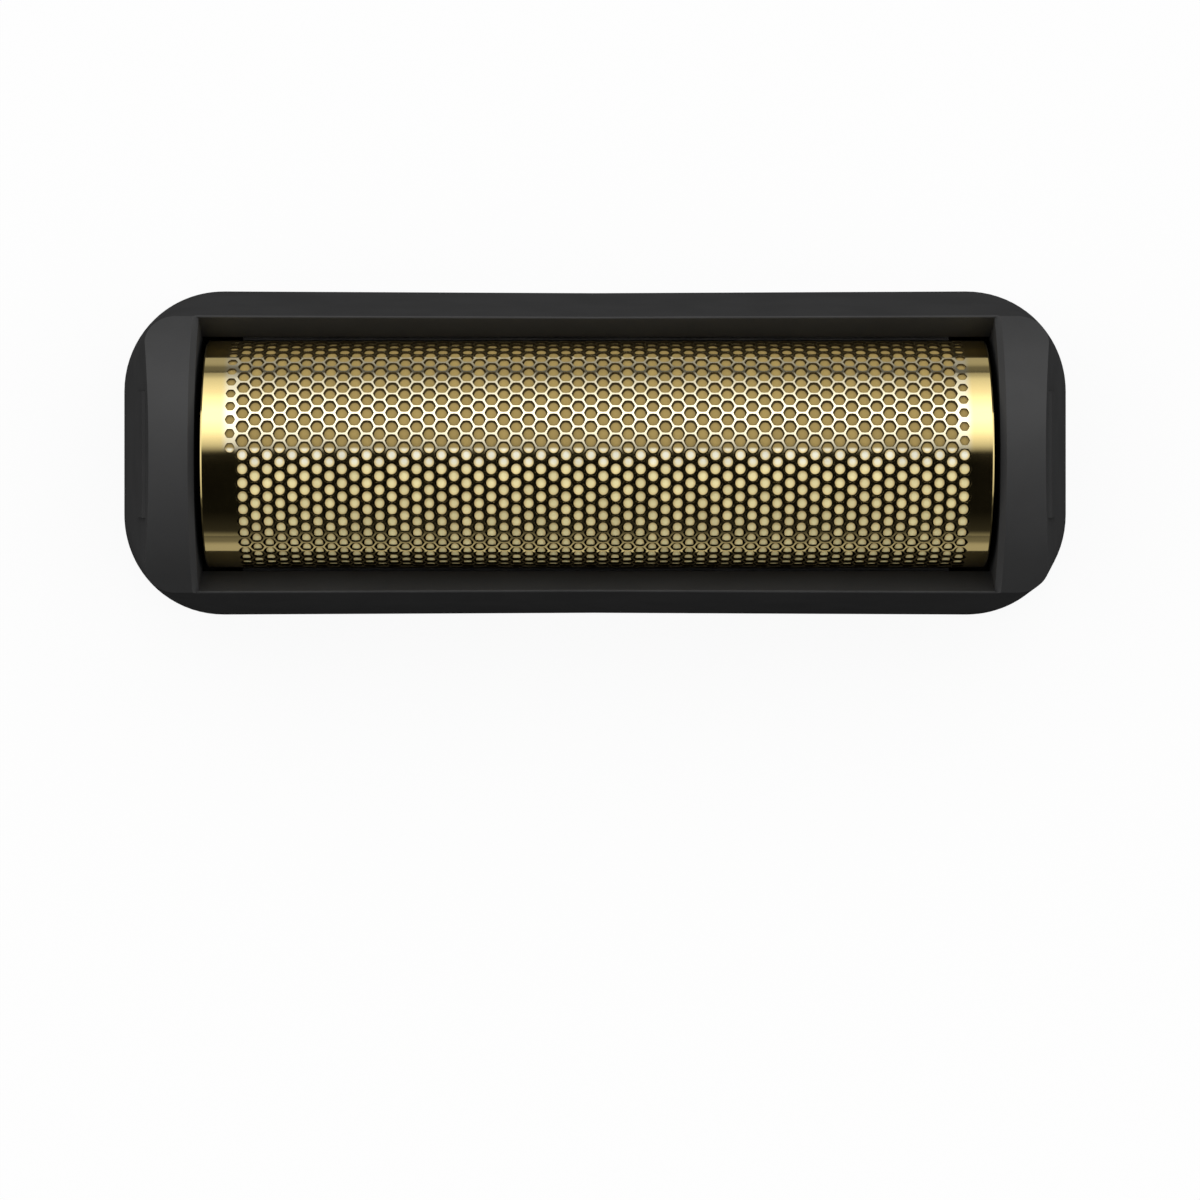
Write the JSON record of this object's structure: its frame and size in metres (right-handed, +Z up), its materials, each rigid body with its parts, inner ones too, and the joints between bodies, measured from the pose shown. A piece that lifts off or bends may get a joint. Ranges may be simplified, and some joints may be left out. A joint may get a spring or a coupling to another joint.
{
  "type": "shaver foil head",
  "caption": "Replacement foil head for an electric shaver: a black moulded frame with an arched, perforated gold-coloured cutting foil held in a snap-in cassette.",
  "frame": {"origin": "middle of the open bottom rim, on which the head stands", "axes": "+X runs along the foil to the right, +Y across it to the rear, +Z up out of the foil's crown"},
  "size_m": [0.06, 0.0206, 0.0152],
  "materials": {
    "black_moulding": "fine satin moulded plastic",
    "black_carrier": "satin moulded plastic",
    "gold_foil": "mirror bright gold-coloured foil",
    "gold_inner_foil": "satin gold-coloured foil",
    "steel_strip": "rolled sheet"
  },
  "bodies": {
    "root": {"outer_frame": "black_moulding", "foil": "gold_foil", "inner_foil": "gold_inner_foil", "foil_carrier": "black_carrier", "right_end_cheek": "black_carrier", "left_end_cheek": "black_carrier", "rear_clamp_strip": "steel_strip", "front_clamp_strip": "steel_strip"}
  },
  "joints": []
}
